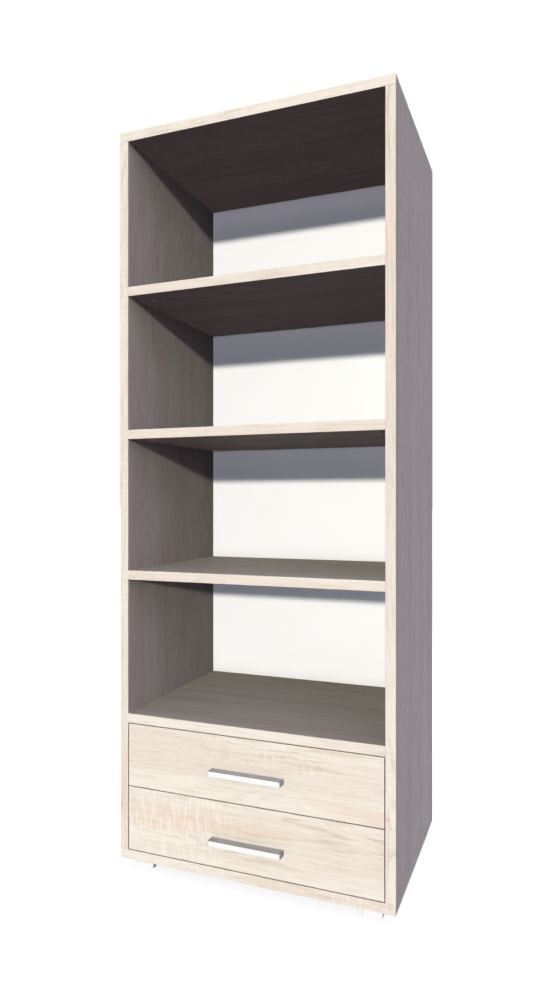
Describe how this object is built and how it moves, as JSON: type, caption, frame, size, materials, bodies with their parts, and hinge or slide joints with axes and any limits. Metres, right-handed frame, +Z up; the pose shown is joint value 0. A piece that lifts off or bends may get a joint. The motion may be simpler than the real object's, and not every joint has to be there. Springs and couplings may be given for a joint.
{
  "type": "office shelving unit",
  "caption": "Tall free-standing office bookcase in pale oak-decor board with open shelves, a white back and inset drawers with aluminium bar handles on roller runners.",
  "frame": {"origin": "on the floor under the middle of the whole unit, handles included", "axes": "+Z up, the open front and the drawers face -Y, +X to the right as seen from the front"},
  "size_m": [0.66, 0.489, 1.743],
  "materials": {
    "oak_board": "pale oak decor, satin, with a fine grain",
    "white_hardboard": "white lacquered hardboard",
    "white_board": "white coated board, satin",
    "foot_plastic": "white moulded plastic",
    "coated_steel": "white powder coat",
    "nylon": "natural nylon",
    "handle_aluminium": "satin anodised",
    "cap_plastic": "silver-grey plastic",
    "dowel_beech": "bare beech",
    "zinc_steel": "zinc plated"
  },
  "bodies": {
    "carcass": {"back_panel": "white_hardboard", "back_panel_nails": "zinc_steel", "bottom_panel": "oak_board", "cam_bolts": "zinc_steel", "cam_covers": "oak_board", "cam_discs": "zinc_steel", "carcass_dowels": "dowel_beech", "connecting_screws": "zinc_steel", "drawer_deck": "oak_board", "foot_screws": "zinc_steel", "front_left_foot": "foot_plastic", "front_right_foot": "foot_plastic", "front_roller_pins": "zinc_steel", "left_side": "oak_board", "lower_left_rail": "coated_steel", "lower_right_rail": "coated_steel", "lower_shelf": "oak_board", "middle_shelf": "oak_board", "rail_screws": "zinc_steel", "rear_left_foot": "foot_plastic", "rear_right_foot": "foot_plastic", "right_side": "oak_board", "top_panel": "oak_board", "upper_left_rail": "coated_steel", "upper_right_rail": "coated_steel", "upper_shelf": "oak_board"},
    "upper_front_rollers": {"upper_front_rollers": "nylon"},
    "upper_rear_rollers": {"upper_rear_rollers": "nylon"},
    "lower_front_rollers": {"lower_front_rollers": "nylon"},
    "lower_rear_rollers": {"lower_rear_rollers": "nylon"},
    "lower_drawer": {"lower_box_back": "white_board", "lower_box_bottom": "white_hardboard", "lower_box_front": "white_board", "lower_box_left": "white_board", "lower_box_right": "white_board", "lower_box_screws": "zinc_steel", "lower_drawer_front": "oak_board", "lower_front_screws": "zinc_steel", "lower_handle": "handle_aluminium", "lower_handle_caps": "cap_plastic", "lower_handle_screws": "zinc_steel", "lower_left_runner": "coated_steel", "lower_rear_roller_pins": "zinc_steel", "lower_right_runner": "coated_steel", "lower_runner_screws": "zinc_steel"},
    "upper_drawer": {"upper_box_back": "white_board", "upper_box_bottom": "white_hardboard", "upper_box_front": "white_board", "upper_box_left": "white_board", "upper_box_right": "white_board", "upper_box_screws": "zinc_steel", "upper_drawer_front": "oak_board", "upper_front_screws": "zinc_steel", "upper_handle": "handle_aluminium", "upper_handle_caps": "cap_plastic", "upper_handle_screws": "zinc_steel", "upper_left_runner": "coated_steel", "upper_rear_roller_pins": "zinc_steel", "upper_right_runner": "coated_steel", "upper_runner_screws": "zinc_steel"}
  },
  "joints": [
    {"name": "upper_drawer_slide", "type": "slide", "parent": "carcass", "child": "upper_drawer", "axis": [0, -1, 0], "range_m": [0, 0.3]},
    {"name": "upper_front_rollers_spin", "type": "hinge", "parent": "carcass", "child": "upper_front_rollers", "pos_m": [0, -0.1815, 0.2257], "axis": [1, 0, 0], "range_deg": [-5, 1725]},
    {"name": "upper_rear_rollers_spin", "type": "hinge", "parent": "upper_drawer", "child": "upper_rear_rollers", "pos_m": [0, 0.1905, 0.2225], "axis": [1, 0, 0], "range_deg": [-5, 1725]},
    {"name": "lower_drawer_slide", "type": "slide", "parent": "carcass", "child": "lower_drawer", "axis": [0, -1, 0], "range_m": [0, 0.3]},
    {"name": "lower_front_rollers_spin", "type": "hinge", "parent": "carcass", "child": "lower_front_rollers", "pos_m": [0, -0.1815, 0.0757], "axis": [1, 0, 0], "range_deg": [-5, 1725]},
    {"name": "lower_rear_rollers_spin", "type": "hinge", "parent": "lower_drawer", "child": "lower_rear_rollers", "pos_m": [0, 0.1905, 0.0725], "axis": [1, 0, 0], "range_deg": [-5, 1725]}
  ],
  "couplings": [
    {"joint": "upper_front_rollers_spin", "follows": "upper_drawer_slide", "rad_per_m": 100},
    {"joint": "upper_rear_rollers_spin", "follows": "upper_drawer_slide", "rad_per_m": 100},
    {"joint": "lower_front_rollers_spin", "follows": "lower_drawer_slide", "rad_per_m": 100},
    {"joint": "lower_rear_rollers_spin", "follows": "lower_drawer_slide", "rad_per_m": 100}
  ]
}
